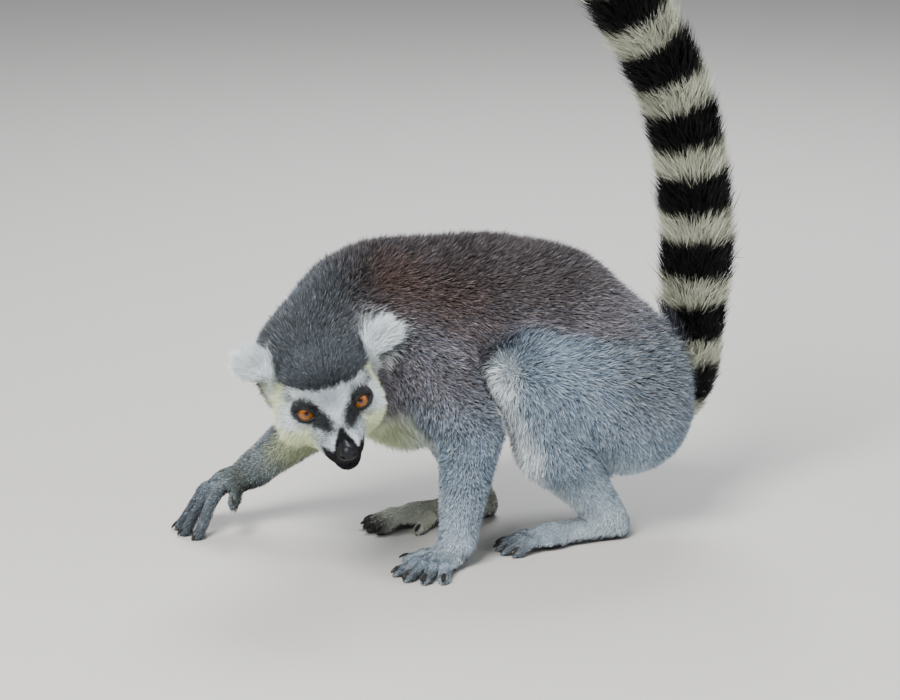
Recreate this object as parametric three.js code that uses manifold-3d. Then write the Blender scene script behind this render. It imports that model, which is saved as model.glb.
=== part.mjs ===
// A ring-tailed lemur at life size, crouching on all fours with its head turned to its left and its tail up.
// Units are millimetres, +Z up, the head end towards -X and the animal's left side towards -Y.
// The body is one smooth distance field of balls and tapered bones, drawn to the tips of the coat.
// It is turned into triangles node by node, and parted with thin cuts where a person would name its parts.
import * as THREE from "three";
import Module from "manifold-3d";

const wasm = await Module();
wasm.setup();

// ---- driving dimensions ----------------------------------------------------------------------------------
const GAP = 0.4; // width of the cut between two nodes
const EYE_RADIUS = 8.6;
const EYE_SPACING = 38; // between the centres of the two eyeballs
const TAIL_RADIUS = 29;
const TAIL_LENGTHS = 6; // the nodes that the tail is parted into
const DIGIT_TIP = 4.4; // radius at a digit's tip
const DIGIT_REST = 3.2; // height of a resting tip, less than its radius, so that it has a flat

const point = (x, y, z) => new THREE.Vector3(x, y, z);

// ---- field shapes ----------------------------------------------------------------------------------------
// Each shape is { far(p), low, high }: its signed distance at p, and the corners of its box.

// A bone: a round-ended bar whose radius goes from ra at a to rb at b.
function bone(a, b, ra, rb = ra) {
  const along = b.clone().sub(a);
  const length2 = along.lengthSq();
  const r = Math.max(ra, rb);
  return {
    far: (p) => {
      const dx = p.x - a.x;
      const dy = p.y - a.y;
      const dz = p.z - a.z;
      const t = Math.min(1, Math.max(0, (dx * along.x + dy * along.y + dz * along.z) / length2));
      return Math.hypot(dx - t * along.x, dy - t * along.y, dz - t * along.z) - ra - t * (rb - ra);
    },
    low: a.clone().min(b).subScalar(r),
    high: a.clone().max(b).addScalar(r),
  };
}

// A ball: an ellipsoid of radii rx, ry, rz, turned in degrees about its own X, then Y, then Z.
function ball(c, [rx, ry, rz], [roll, pitch, yaw] = [0, 0, 0]) {
  const angles = [roll, pitch, yaw].map(THREE.MathUtils.degToRad);
  const m = new THREE.Matrix4().makeRotationFromEuler(new THREE.Euler(...angles, "ZYX")).transpose().elements;
  const r = Math.max(rx, ry, rz);
  return {
    far: (p) => {
      const dx = p.x - c.x;
      const dy = p.y - c.y;
      const dz = p.z - c.z;
      const x = (m[0] * dx + m[4] * dy + m[8] * dz) / rx;
      const y = (m[1] * dx + m[5] * dy + m[9] * dz) / ry;
      const z = (m[2] * dx + m[6] * dy + m[10] * dz) / rz;
      const k0 = Math.hypot(x, y, z);
      const k1 = Math.hypot(x / rx, y / ry, z / rz);
      return k1 > 0 ? (k0 * (k0 - 1)) / k1 : -Math.min(rx, ry, rz);
    },
    low: c.clone().subScalar(r),
    high: c.clone().addScalar(r),
  };
}

// Two distances melted together over a width of k.
const melt = (a, b, k) => {
  const h = Math.max(k - Math.abs(a - b), 0);
  return Math.min(a, b) - (h * h) / (4 * k);
};

// Several shapes melted into one, each with a width of k to those before it.
const blend = (k, shapes) => ({
  far: (p) => shapes.reduce((d, s) => melt(d, s.far(p), k), 1e3),
  low: shapes.reduce((v, s) => v.min(s.low), point(1e3, 1e3, 1e3)),
  high: shapes.reduce((v, s) => v.max(s.high), point(-1e3, -1e3, -1e3)),
});

// A chain of bones through places with the radii given.
const chain = (places, radii) =>
  places.slice(1).map((b, i) => bone(places[i], b, radii[i], radii[i + 1]));

// ---- trunk and neck --------------------------------------------------------------------------------------
const trunk = blend(30, [
  ball(point(-36, 0, 176), [56, 47, 58], [0, -6, 0]), // chest and shoulders
  ball(point(-28, -4, 122), [44, 37, 50]), // breast
  ball(point(26, 0, 176), [60, 53, 57]), // ribs
  ball(point(82, 0, 162), [58, 54, 58], [0, 24, 0]), // loins
  ball(point(132, 0, 120), [60, 48, 56], [0, 48, 0]), // rump
]);
const neck = blend(24, [
  bone(point(-68, 2, 173), point(-103, -26, 152), 47, 46),
  ball(point(-74, -12, 130), [34, 32, 34]), // throat
]);
const core = blend(26, [trunk, neck]);

// ---- head ------------------------------------------------------------------------------------------------
// The head has a frame of its own: f towards the nose, l towards its left, u up, from between the eyes.
const HEAD_AT = point(-109, -90, 137);
const HEAD_FACING = point(-0.128, -0.99, -0.063).normalize();
const HEAD_LEFT = point(0.971, -0.138, 0.196)
  .addScaledVector(HEAD_FACING, -point(0.971, -0.138, 0.196).dot(HEAD_FACING))
  .normalize();
const HEAD_UP = HEAD_FACING.clone().cross(HEAD_LEFT);
const onHead = (f, l, u) =>
  HEAD_AT.clone()
    .addScaledVector(HEAD_FACING, f)
    .addScaledVector(HEAD_LEFT, l)
    .addScaledVector(HEAD_UP, u);

// A shape made in the head's frame, where x is f, y is l and z is u; mirrored shapes appear on both sides.
function headShape(shape, mirrored = false) {
  const q = new THREE.Vector3();
  const d = new THREE.Vector3();
  const corners = [];
  for (const f of [shape.low.x, shape.high.x])
    for (const l of mirrored ? [-shape.high.y, shape.high.y] : [shape.low.y, shape.high.y])
      for (const u of [shape.low.z, shape.high.z]) corners.push(onHead(f, l, u));
  const box = new THREE.Box3().setFromPoints(corners);
  return {
    far: (p) => {
      d.subVectors(p, HEAD_AT);
      q.set(d.dot(HEAD_FACING), d.dot(HEAD_LEFT), d.dot(HEAD_UP));
      if (mirrored) q.y = Math.abs(q.y);
      return shape.far(q);
    },
    low: box.min,
    high: box.max,
  };
}

const skull = headShape(
  blend(12, [
    ball(point(-37, 0, 9), [39, 35, 31]), // braincase
    ball(point(-12, 0, 9), [22, 27, 18]), // brow
    bone(point(2, 0, -5), point(37, 0, -19), 16, 9.5), // muzzle
    bone(point(-12, 0, -18), point(33, 0, -27), 16, 6.5), // lower jaw
  ]),
);
const cheeks = headShape(
  blend(10, [
    ball(point(-17, 20, -8), [22, 18, 20]),
    bone(point(-4, 13, -15), point(20, 5, -20), 11, 8), // lips
  ]),
  true,
);
const head = blend(10, [skull, cheeks]);
const orbits = [-1, 1].map((side) => headShape(ball(point(9, side * (EYE_SPACING / 2 + 1.5), 1), [10, 10, 9])));
const eyeballs = [-1, 1].map((side) => onHead(-2, (side * EYE_SPACING) / 2, 0));
const nose = headShape(ball(point(45, 0, -18), [6, 6, 6]));
const ears = [-1, 1].map((side) =>
  headShape(ball(point(-37, side * 44, 30), [8, 14, 20], [side * -38, 0, 0])),
);

// ---- limbs -----------------------------------------------------------------------------------------------
const LIMBS = {
  left: {
    side: -1,
    shoulder: point(-30, -28, 154),
    elbow: point(4, -54, 98),
    wrist: point(-8, -60, 20),
    hand: { at: point(-17, -62, 7), heading: 220, thumb: -1, thumbRest: DIGIT_REST, length: 27 },
    hip: point(132, -27, 100),
    knee: point(49, -56, 136),
    ankle: point(114, -36, 22),
    foot: { heading: 188 },
  },
  right: {
    side: 1,
    shoulder: point(-36, 28, 152),
    elbow: point(-66, 50, 98),
    wrist: point(-126, 70, 46),
    hand: { at: point(-139, 70, 39), heading: 176, thumb: 1, thumbRest: 31, length: 30 },
    hip: point(124, 27, 104),
    knee: point(28, 60, 138),
    ankle: point(36, 42, 24),
    foot: { heading: 186 },
  },
};

// The place a given length from another along a compass heading, at height z.
const ahead = (from, heading, length, z) => {
  const a = THREE.MathUtils.degToRad(heading);
  return point(from.x + length * Math.cos(a), from.y + length * Math.sin(a), z);
};
// A digit: from its root over a raised knuckle down to its tip, which rests on the floor unless told else.
function digit(root, heading, length, radius, rest = DIGIT_REST) {
  const knuckle = ahead(root, heading, length * 0.5, Math.max(8, root.z * 0.76));
  const tip = ahead(root, heading, length, rest);
  const end = ahead(root, heading, length + DIGIT_TIP * 0.8, rest - DIGIT_REST * 0.4 - root.z * 0.15);
  return { places: [root, knuckle, tip, end], radii: [radius, radius * 0.95, DIGIT_TIP, DIGIT_TIP * 0.5] };
}
function hand(limb) {
  const { at, heading, thumb, thumbRest, length } = limb.hand;
  const palm = blend(6, [
    bone(limb.wrist, at, 12, 9.5),
    ball(ahead(at, heading, 4, at.z), [16, 14, 8.5], [0, 0, heading]),
  ]);
  const digits = [-27, -9, 9, 27].map((spread, i) =>
    digit(ahead(at, heading + spread * 1.2, 10, at.z), heading + spread, length + 4 * Math.sin(i + 0.6), 5),
  );
  const thumbRoot = ahead(at, heading + thumb * 70, 6, at.z);
  digits.push(digit(thumbRoot, heading + thumb * 75, length * 0.85, 5.2, thumbRest));
  return { palm, digits };
}
function foot(limb) {
  const { ankle, side } = limb;
  const { heading } = limb.foot;
  const heel = ahead(ankle, heading, -9, 9.5);
  const ballOfFoot = ahead(ankle, heading, 46, 7.5);
  const palm = blend(6, [
    bone(ankle, heel, 14.5, 11.5),
    bone(heel, ballOfFoot, 11.5, 9),
    ball(ballOfFoot, [14, 13, 8.5], [0, 0, heading]),
  ]);
  const digits = [-20, -8, 4, 16].map((spread, i) => {
    const root = ahead(ballOfFoot, heading + spread * 3, 7, 7.5);
    return digit(root, heading + spread * 0.8, 30 - 2 * Math.abs(i - 1.5), 5);
  });
  digits.push(digit(ahead(ankle, heading, 24, 8), heading + side * 38, 36, 6)); // big toe
  return { palm, digits };
}

function limbShapes(limb) {
  const { shoulder, elbow, wrist, hip, knee, ankle } = limb;
  const calf = knee.clone().lerp(ankle, 0.45).add(point(-8, 0, -5));
  return {
    arm: blend(4, chain([shoulder, elbow, wrist], [30, 25, 14])),
    leg: blend(6, [bone(hip, knee, 53, 31), ...chain([knee, calf, ankle], [31, 30, 14])]),
    hand: hand(limb),
    foot: foot(limb),
  };
}
const left = limbShapes(LIMBS.left);
const right = limbShapes(LIMBS.right);

// ---- tail ------------------------------------------------------------------------------------------------
// The tail's line: it rises from the rump, leans forward over the back, and turns up again at the tip.
const tailLine = new THREE.CatmullRomCurve3(
  [
    [168, 92], [190, 84], [201, 106], [201, 140], [199, 180], [200, 215], [197, 250], [189, 296], [173, 342],
    [146, 388], [119, 432], [96, 480], [88, 530], [100, 580],
  ].map(([x, z]) => point(x, 0, z)),
);
const TAIL_RINGS = 28;
const TAIL_SIDES = 12;
// The tail swells from a thin root to its full thickness over its first fifth, and is round at its tip.
const tailRadius = (t) => TAIL_RADIUS * Math.min(1, 0.3 + 3.2 * t) * Math.sqrt(Math.min(1, 9 * (1.004 - t)));
const tailPlaces = tailLine.getSpacedPoints(TAIL_RINGS);
const tail = { places: tailPlaces, radii: tailPlaces.map((_, i) => tailRadius(i / TAIL_RINGS)) };

// ---- triangles -------------------------------------------------------------------------------------------
const CORNERS = [0, 1, 2, 3, 4, 5, 6, 7].map((c) => [c & 1, (c >> 1) & 1, c >> 2]);
const isEdge = (a, b) => Math.abs(a[0] - b[0]) + Math.abs(a[1] - b[1]) + Math.abs(a[2] - b[2]) === 1;
const EDGES = CORNERS.flatMap((a, i) => CORNERS.slice(i + 1).filter((b) => isEdge(a, b)).map((b) => [a, b]));

// The triangles round the inside of a field: one vertex for each grid cell that its surface crosses.
function surfaceNet(field, low, high, step, shift) {
  const n = ["x", "y", "z"].map((k) => Math.ceil((high[k] - low[k]) / step) + 3);
  const start = low.clone().subScalar(step * (1 + shift));
  const p = new THREE.Vector3();
  const at = (i, j, k) => p.set(start.x + i * step, start.y + j * step, start.z + k * step);
  const index = (i, j, k) => i + n[0] * (j + n[1] * k);
  const values = new Float32Array(n[0] * n[1] * n[2]).fill(step);
  for (let k = 1; k < n[2] - 1; k++)
    for (let j = 1; j < n[1] - 1; j++)
      for (let i = 1; i < n[0] - 1; i++) values[index(i, j, k)] = field(at(i, j, k));

  // Moves a vertex down the field's slope onto the surface.
  const slope = new THREE.Vector3();
  const settle = (v) => {
    const e = step * 0.05;
    const d = field(v);
    slope.set(
      field(p.set(v.x + e, v.y, v.z)) - d,
      field(p.set(v.x, v.y + e, v.z)) - d,
      field(p.set(v.x, v.y, v.z + e)) - d,
    );
    slope.divideScalar(e);
    const move = THREE.MathUtils.clamp(d / Math.max(slope.lengthSq(), 0.2), -step * 0.3, step * 0.3);
    v.addScaledVector(slope, -move);
  };

  const vertexOf = new Map();
  const vertices = [];
  const addVertex = (i, j, k) => {
    const mean = new THREE.Vector3();
    let count = 0;
    for (const [a, b] of EDGES) {
      const va = values[index(i + a[0], j + a[1], k + a[2])];
      const vb = values[index(i + b[0], j + b[1], k + b[2])];
      if (va < 0 === vb < 0) continue;
      const t = va / (va - vb);
      mean.add(at(...[i, j, k].map((c, axis) => c + a[axis] + t * (b[axis] - a[axis]))));
      count++;
    }
    mean.divideScalar(count);
    settle(mean);
    vertexOf.set(index(i, j, k), vertices.length);
    vertices.push(mean);
  };
  for (let k = 0; k < n[2] - 1; k++)
    for (let j = 0; j < n[1] - 1; j++)
      for (let i = 0; i < n[0] - 1; i++) {
        const inside = CORNERS.filter(([a, b, c]) => values[index(i + a, j + b, k + c)] < 0).length;
        if (inside > 0 && inside < 8) addVertex(i, j, k);
      }

  const triangles = [];
  const UNITS = [[1, 0, 0], [0, 1, 0], [0, 0, 1]];
  for (let k = 0; k < n[2] - 1; k++)
    for (let j = 0; j < n[1] - 1; j++)
      for (let i = 0; i < n[0] - 1; i++)
        UNITS.forEach((d, axis) => {
          const [u, v] = [UNITS[(axis + 1) % 3], UNITS[(axis + 2) % 3]];
          if ([i, j, k].some((c, other) => other !== axis && c === 0)) return;
          const here = values[index(i, j, k)] < 0;
          if (here === values[index(i + d[0], j + d[1], k + d[2])] < 0) return;
          // The four cells round this edge, in turn about its direction.
          const cell = (a, b) =>
            vertexOf.get(index(i - a * u[0] - b * v[0], j - a * u[1] - b * v[1], k - a * u[2] - b * v[2]));
          const ring = [cell(0, 0), cell(1, 0), cell(1, 1), cell(0, 1)];
          if (!here) ring.reverse();
          const [a, b, c, e] = ring;
          const short = vertices[a].distanceTo(vertices[c]) < vertices[b].distanceTo(vertices[e]);
          triangles.push(...(short ? [a, b, c, a, c, e] : [a, b, e, b, c, e]));
        });
  return { vertices, triangles };
}

// True where some edge is shared by more than two triangles.
function pinched(triangles) {
  const seen = new Set();
  for (let t = 0; t < triangles.length; t += 3)
    for (let e = 0; e < 3; e++) {
      const edge = `${triangles[t + e]},${triangles[t + ((e + 1) % 3)]}`;
      if (seen.has(edge)) return true;
      seen.add(edge);
    }
  return false;
}

// The inside of a field as a surface net, from a grid that is shifted until no edge is pinched.
function netOf(field, { low, high }, step) {
  let net = null;
  for (let shift = 0; shift < 1 && (!net || pinched(net.triangles)); shift += 0.17)
    net = surfaceNet(field, low, high, step, shift);
  return net;
}
const solidOfNet = ({ vertices, triangles }) =>
  new wasm.Manifold(
    new wasm.Mesh({
      numProp: 3,
      vertProperties: new Float32Array(vertices.flatMap((v) => v.toArray())),
      triVerts: new Uint32Array(triangles),
    }),
  );
const solidOf = (field, box, step) => solidOfNet(netOf(field, box, step));

// A tube along a line: a ring of vertices round each place, square to the line, and a vertex at each end.
function tubeNet({ places, radii }, sides) {
  const level = new THREE.Vector3(0, 1, 0);
  const first = places[1].clone().sub(places[0]).normalize();
  if (Math.abs(first.dot(level)) > 0.7) level.set(1, 0, 0);
  const vertices = [places[0].clone(), places.at(-1).clone()];
  places.forEach((place, i) => {
    const before = places[Math.max(i - 1, 0)];
    const after = places[Math.min(i + 1, places.length - 1)];
    const along = after.clone().sub(before).normalize();
    const u = level.clone().addScaledVector(along, -level.dot(along)).normalize();
    const v = along.clone().cross(u);
    for (let s = 0; s < sides; s++) {
      const a = (2 * Math.PI * s) / sides;
      vertices.push(
        place.clone().addScaledVector(u, radii[i] * Math.cos(a)).addScaledVector(v, radii[i] * Math.sin(a)),
      );
    }
  });
  const at = (ring, s) => 2 + ring * sides + (s % sides);
  const last = places.length - 1;
  const triangles = [];
  for (let s = 0; s < sides; s++) {
    triangles.push(0, at(0, s + 1), at(0, s), 1, at(last, s), at(last, s + 1));
    for (let r = 0; r < last; r++)
      triangles.push(at(r, s), at(r, s + 1), at(r + 1, s + 1), at(r, s), at(r + 1, s + 1), at(r + 1, s));
  }
  return { vertices, triangles };
}

// The same net with every vertex moved outwards by a distance, so that the two solids leave an even gap.
function swollen({ vertices, triangles }, by) {
  const normals = vertices.map(() => new THREE.Vector3());
  for (let t = 0; t < triangles.length; t += 3) {
    const [a, b, c] = triangles.slice(t, t + 3);
    const across = vertices[b].clone().sub(vertices[a]).cross(vertices[c].clone().sub(vertices[a]));
    for (const v of [a, b, c]) normals[v].add(across);
  }
  return { vertices: vertices.map((v, i) => v.clone().addScaledVector(normals[i].normalize(), by)), triangles };
}
const largest = (solid) => solid.decompose().reduce((a, b) => (b.volume() > a.volume() ? b : a));
const above = (solid, normal, place, gap = GAP) =>
  solid.trimByPlane(normal.toArray(), normal.dot(place) + gap / 2);
const below = (solid, normal, place) => above(solid, normal.clone().negate(), place);

// ---- nodes -----------------------------------------------------------------------------------------------
const BODY_STEP = 23; // grid steps, finer where the shape is smaller
const LIMB_STEP = 18;
const HEAD_STEP = 9.6;
const EAR_STEP = 7.5;
const PAW_STEP = 10;
const EYE_STEP = 4.6;
const DIGIT_SIDES = 6;
const INNER_FACE = 22; // a limb's node starts this far from the middle
const UP = point(0, 0, 1);
const FLOOR = point(0, 0, 0);

// A shape's own solid, and the solid that leaves room for it in its neighbours.
function roomFor(shape, step, side = 0) {
  const field = side ? (p) => Math.max(shape.far(p), INNER_FACE - side * p.y) : shape.far;
  const net = netOf(field, shape, step);
  return { own: solidOfNet(net), cut: solidOfNet(swollen(net, GAP * 1.3)) };
}
const nodes = [];
const COLOURS = { grey: 0x77797e, white: 0xd8dad6, tail: 0x54545a, eye: 0xd07818, skin: 0x17181b };
const add = (solid, name, colour) => nodes.push([largest(solid), name, colour]);

let body = solidOf(core.far, core, BODY_STEP);

// Head, with its ears and nose set on and its eyes let in.
const headRoom = roomFor(head, HEAD_STEP);
let headFlesh = headRoom.own;
body = body.subtract(headRoom.cut);
ears.forEach((ear, i) => {
  const { own, cut } = roomFor(ear, EAR_STEP);
  add(own.subtract(headRoom.cut), i ? "ear_left" : "ear_right", COLOURS.white);
  body = body.subtract(cut);
});
const noseRoom = roomFor(nose, EYE_STEP);
add(noseRoom.own, "nose", COLOURS.skin);
headFlesh = headFlesh.subtract(noseRoom.cut);
eyeballs.forEach((eye, i) => {
  headFlesh = headFlesh.subtract(solidOf(orbits[i].far, orbits[i], EYE_STEP));
  const { own, cut } = roomFor(ball(eye, [EYE_RADIUS, EYE_RADIUS, EYE_RADIUS]), EYE_STEP);
  headFlesh = headFlesh.subtract(cut);
  add(own, i ? "eye_left" : "eye_right", COLOURS.eye);
});
add(headFlesh, "head", COLOURS.grey);

// Limbs.
const toward = (from, to) => to.clone().sub(from).normalize();
for (const [name, limb, shapes] of [["left", LIMBS.left, left], ["right", LIMBS.right, right]]) {
  const { side, shoulder, elbow, wrist, hip, knee, ankle } = limb;
  for (const [shape, [root, bend, tip], names, end, endName, across, endCut] of [
    [shapes.arm, [shoulder, elbow, wrist], ["upper_arm", "forearm"], shapes.hand, "hand", toward(wrist, elbow), 4],
    [shapes.leg, [hip, knee, ankle], ["thigh", "shank"], shapes.foot, "foot", UP, 8],
  ]) {
    const { own, cut } = roomFor(shape, LIMB_STEP, side);
    const split = toward(bend, root).sub(toward(bend, tip)).normalize();
    const endPlace = tip.clone().addScaledVector(across, endCut);
    add(above(own, split, bend), `${names[0]}_${name}`, COLOURS.grey);
    add(above(below(own, split, bend), across, endPlace), `${names[1]}_${name}`, COLOURS.grey);
    const paw = end.digits.reduce(
      (solid, line) => solid.add(solidOfNet(tubeNet(line, DIGIT_SIDES))),
      solidOf(end.palm.far, end.palm, PAW_STEP),
    );
    add(below(above(paw, UP, FLOOR, 0), across, endPlace), `${endName}_${name}`, COLOURS.grey);
    body = body.subtract(cut);
  }
}

// Tail, in lengths.
const tailNet = tubeNet(tail, TAIL_SIDES);
let tailFlesh = solidOfNet(tailNet);
body = body.subtract(solidOfNet(swollen(tailNet, GAP * 1.3)));
for (let i = 1; i <= TAIL_LENGTHS; i++) {
  if (i === TAIL_LENGTHS) {
    add(tailFlesh, `tail_${i}`, COLOURS.tail);
    break;
  }
  const place = tailLine.getPointAt(i / TAIL_LENGTHS);
  const along = tailLine.getTangentAt(i / TAIL_LENGTHS);
  add(below(tailFlesh, along, place), `tail_${i}`, COLOURS.tail);
  tailFlesh = above(tailFlesh, along, place);
}

// Trunk and neck.
const neckCut = [point(1, 0.2, 0.3).normalize(), point(-74, 0, 172)];
const waistCut = [point(1, 0, 0), point(16, 0, 150)];
const rumpCut = [point(0.85, 0, -0.53), point(94, 0, 150)];
add(below(body, ...neckCut), "neck", COLOURS.grey);
add(below(above(body, ...neckCut), ...waistCut), "chest", COLOURS.grey);
add(below(above(body, ...waistCut), ...rumpCut), "loins", COLOURS.grey);
add(above(body, ...rumpCut), "rump", COLOURS.grey);

// ---- the group, moved so that its origin is under the middle of its box ----------------------------------
const lemur = new THREE.Group();
lemur.name = "ring_tailed_lemur";
for (const [solid, name, colour] of nodes) {
  const mesh = solid.getMesh();
  const geometry = new THREE.BufferGeometry();
  geometry.setAttribute("position", new THREE.BufferAttribute(new Float32Array(mesh.vertProperties), 3));
  geometry.setIndex(new THREE.BufferAttribute(new Uint32Array(mesh.triVerts), 1));
  const made = new THREE.Mesh(geometry, new THREE.MeshStandardMaterial({ color: colour, roughness: 0.9 }));
  made.name = name;
  lemur.add(made);
}
const box = new THREE.Box3().setFromObject(lemur);
const middle = box.getCenter(new THREE.Vector3());
for (const mesh of lemur.children) {
  mesh.geometry.translate(-middle.x, -middle.y, -box.min.z);
  mesh.geometry.computeVertexNormals();
}
export default lemur;
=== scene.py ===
import itertools
import math
from functools import partial

import bmesh
import bpy
import numpy as np
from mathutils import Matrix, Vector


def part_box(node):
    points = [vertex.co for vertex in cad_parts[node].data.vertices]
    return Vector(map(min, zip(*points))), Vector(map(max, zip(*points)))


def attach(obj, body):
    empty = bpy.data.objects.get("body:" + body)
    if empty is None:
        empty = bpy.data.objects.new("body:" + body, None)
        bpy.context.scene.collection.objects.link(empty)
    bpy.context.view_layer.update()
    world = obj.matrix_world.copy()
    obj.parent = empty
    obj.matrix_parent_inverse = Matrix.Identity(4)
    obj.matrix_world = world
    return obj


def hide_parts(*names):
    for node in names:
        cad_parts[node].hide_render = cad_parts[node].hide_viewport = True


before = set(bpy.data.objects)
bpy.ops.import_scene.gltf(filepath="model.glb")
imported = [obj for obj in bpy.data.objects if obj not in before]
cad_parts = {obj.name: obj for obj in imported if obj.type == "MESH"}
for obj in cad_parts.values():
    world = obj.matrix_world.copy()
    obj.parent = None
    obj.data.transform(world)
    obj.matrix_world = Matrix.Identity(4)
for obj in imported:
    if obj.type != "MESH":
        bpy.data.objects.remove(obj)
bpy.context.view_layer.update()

import openvdb
from mathutils import Vector

# A ring-tailed lemur's skin, coat, eyes, nose and nails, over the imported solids.
# Shapes are in millimetres: head towards -X, the animal's left towards -Y, the floor at z = 0.
# place() turns them into the row's frame, in metres.

# ---- sizes ----
EYE_RADIUS = 8.6
EYE_SPACING = 38.0
LID_RADIUS = 9.5  # the lids' outer face, from the middle of the eyeball
SOCKET_RADIUS = 7.4  # the skin behind the eyeball
TAIL_RADIUS = 29.0
DIGIT_TIP = 4.4
DIGIT_REST = 3.2
SKIN_STEP = 2.0  # the skin's mesh, before the face is divided finer
FAR = 1e3
CORE_COAT, EAR_COAT = 9.0, 7.0  # how deep the coat is on the skin
ARM_COAT, LEG_COAT, PAW_COAT = (3.0, 7.0), (3.2, 8.0), (1.9, 1.5)  # at the limb's end, and far from it
DROOP = 0.25
# How widely each part melts into the next one.
HEAD_MELT, LID_MELT, EAR_MELT, TAIL_MELT, PAW_MELT = 12, 3.5, 4, 14, 7
ARM_MELT, LEG_MELT = 16, 20
random = np.random.default_rng(7)


# ---- field shapes ----
# A shape is a signed distance of many points at once, with the corners of its box.
class Shape:
    def __init__(self, far, low, high):
        self.far, self.low, self.high = far, np.asarray(low, float), np.asarray(high, float)

    def near(self, points, margin=34.0):
        """The distance where a point is within a margin of the box, and FAR elsewhere."""
        out = np.full(len(points), FAR)
        inside = ((points > self.low - margin) & (points < self.high + margin)).all(1)
        if inside.any():
            out[inside] = self.far(points[inside])
        return out


def unit(v):
    v = np.asarray(v, float)
    return v / np.maximum(np.linalg.norm(v, axis=-1, keepdims=True), 1e-9)


def length(v):
    return np.sqrt(np.einsum("ij,ij->i", v, v))


def dot(a, b):
    return np.einsum("ij,ij->i", a, b)


def bone(a, b, ra, rb):
    """A round-ended bar whose radius goes from ra at a to rb at b."""
    a, b = np.asarray(a, float), np.asarray(b, float)
    along = b - a

    def far(points):
        d = points - a
        t = np.clip(d @ along / (along @ along), 0, 1)
        return length(d - t[:, None] * along) - ra - t * (rb - ra)

    return Shape(far, np.minimum(a, b) - max(ra, rb), np.maximum(a, b) + max(ra, rb))


def turned(roll, pitch, yaw):
    """The matrix that turns about X, then Y, then Z, by degrees."""
    (a, b, c), (d, e, f) = (fn(np.radians([roll, pitch, yaw])) for fn in (np.cos, np.sin))
    about_x = np.array([[1, 0, 0], [0, a, -d], [0, d, a]])
    about_y = np.array([[b, 0, e], [0, 1, 0], [-e, 0, b]])
    about_z = np.array([[c, -f, 0], [f, c, 0], [0, 0, 1]])
    return about_z @ about_y @ about_x


def ball(centre, radii, turn=(0, 0, 0)):
    """An ellipsoid, turned in degrees about its own X, then Y, then Z."""
    centre, radii, matrix = np.asarray(centre, float), np.asarray(radii, float), turned(*turn)

    def far(points):
        q = (points - centre) @ matrix / radii
        k0 = length(q)
        return k0 * (k0 - 1) / np.maximum(length(q / radii), 1e-6)

    return Shape(far, centre - radii.max(), centre + radii.max())


def melt(a, b, k):
    h = np.maximum(k - np.abs(a - b), 0)
    return np.minimum(a, b) - h * h / (4 * k)


def carve(a, b, k):
    """a with b cut out of it, rounded over a width of k."""
    return -melt(-a, b, k)


def around(shapes):
    return np.min([s.low for s in shapes], axis=0), np.max([s.high for s in shapes], axis=0)


def blend(k, shapes):
    def far(points):
        d = np.full(len(points), FAR)
        for s in shapes:
            d = melt(d, s.far(points), k)
        return d

    return Shape(far, *around(shapes))


def sharp(shapes, margin):
    """The nearest of several shapes, each looked at only near its own box."""
    return Shape(lambda points: np.min([s.near(points, margin) for s in shapes], axis=0), *around(shapes))


def chain(places, radii):
    return [bone(*ends) for ends in zip(places, places[1:], radii, radii[1:])]


def smooth(x, low, high):
    """0 at low and before it, 1 at high and past it, and an even curve between them."""
    t = np.clip((np.asarray(x) - low) / (high - low), 0, 1)
    return t * t * (3 - 2 * t)


def hill(x, width):
    """1 where x is 0, falling off to nothing on both sides."""
    return np.exp(-((x / width) ** 2))


def lerp(a, b, t):
    return a + (b - a) * t


# ---- trunk and neck ----
TRUNK = blend(30, [
    ball((-36, 0, 176), (56, 47, 58), (0, -6, 0)),
    ball((-28, -4, 122), (44, 37, 50)),
    ball((26, 0, 176), (60, 53, 57)),
    ball((82, 0, 162), (58, 54, 58), (0, 24, 0)),
    ball((132, 0, 120), (60, 48, 56), (0, 48, 0)),
])
NECK = blend(24, [
    bone((-68, 2, 173), (-103, -26, 152), 47, 46),
    ball((-74, -12, 130), (34, 32, 34)),
])

# ---- head ----
# The head's own frame: f towards the nose, l towards its left, u up, from between the eyes.
HEAD_AT = np.array([-109.0, -90.0, 137.0])
FACING = unit([-0.128, -0.99, -0.063])
LEFTWARD = np.array([0.971, -0.138, 0.196])
LEFTWARD = unit(LEFTWARD - FACING * (LEFTWARD @ FACING))
UPWARD = np.cross(FACING, LEFTWARD)
HEAD_AXES = np.array([FACING, LEFTWARD, UPWARD])


def on_head(place):
    return HEAD_AT + np.asarray(place, float) @ HEAD_AXES


def in_head(points):
    return (points - HEAD_AT) @ HEAD_AXES.T


def head_shape(shape, mirrored=False):
    """A shape made in the head's frame; a mirrored one appears on both sides."""
    low, high = shape.low.copy(), shape.high.copy()
    if mirrored:
        low[1] = -high[1]
    corners = on_head(list(itertools.product(*zip(low, high))))

    def far(points):
        q = in_head(points)
        if mirrored:
            q[:, 1] = np.abs(q[:, 1])
        return shape.far(q)

    return Shape(far, corners.min(0), corners.max(0))


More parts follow.
